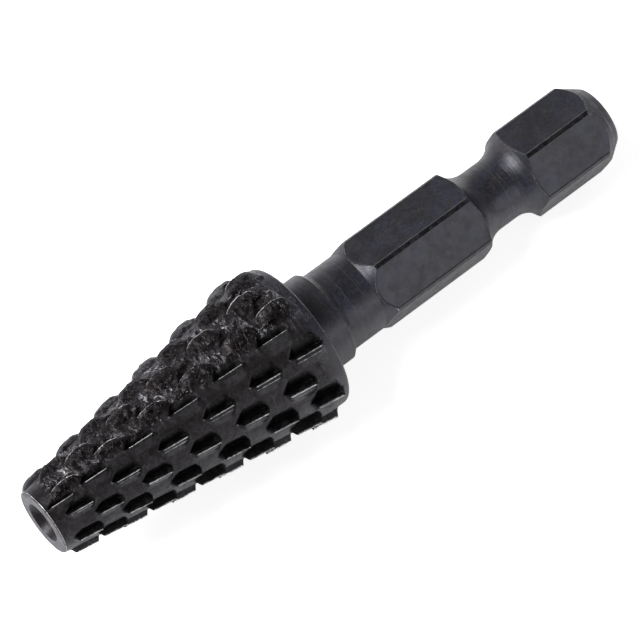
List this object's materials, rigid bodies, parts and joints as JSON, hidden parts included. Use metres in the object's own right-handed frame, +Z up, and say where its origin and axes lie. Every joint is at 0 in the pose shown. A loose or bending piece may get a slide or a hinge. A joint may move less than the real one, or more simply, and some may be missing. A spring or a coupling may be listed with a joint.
{
  "type": "rotary rasp",
  "caption": "Tapered rotary rasp: a blackened steel cone with staggered cutting teeth, on a hexagon quick-change shank with a waist groove.",
  "frame": {"origin": "middle of the footprint's bounding box, at table height", "axes": "+X along the tool towards the shank's end, +Z up; the tool lies on two teeth and one corner of the shank, so its axis falls 4.8 degrees towards +X"},
  "size_m": [0.0506, 0.012, 0.012],
  "materials": {
    "black_oxide_steel": "black oxide, satin, with fine turning marks and torn metal on the teeth"
  },
  "bodies": {
    "root": {"rotary_rasp": "black_oxide_steel"}
  },
  "joints": []
}
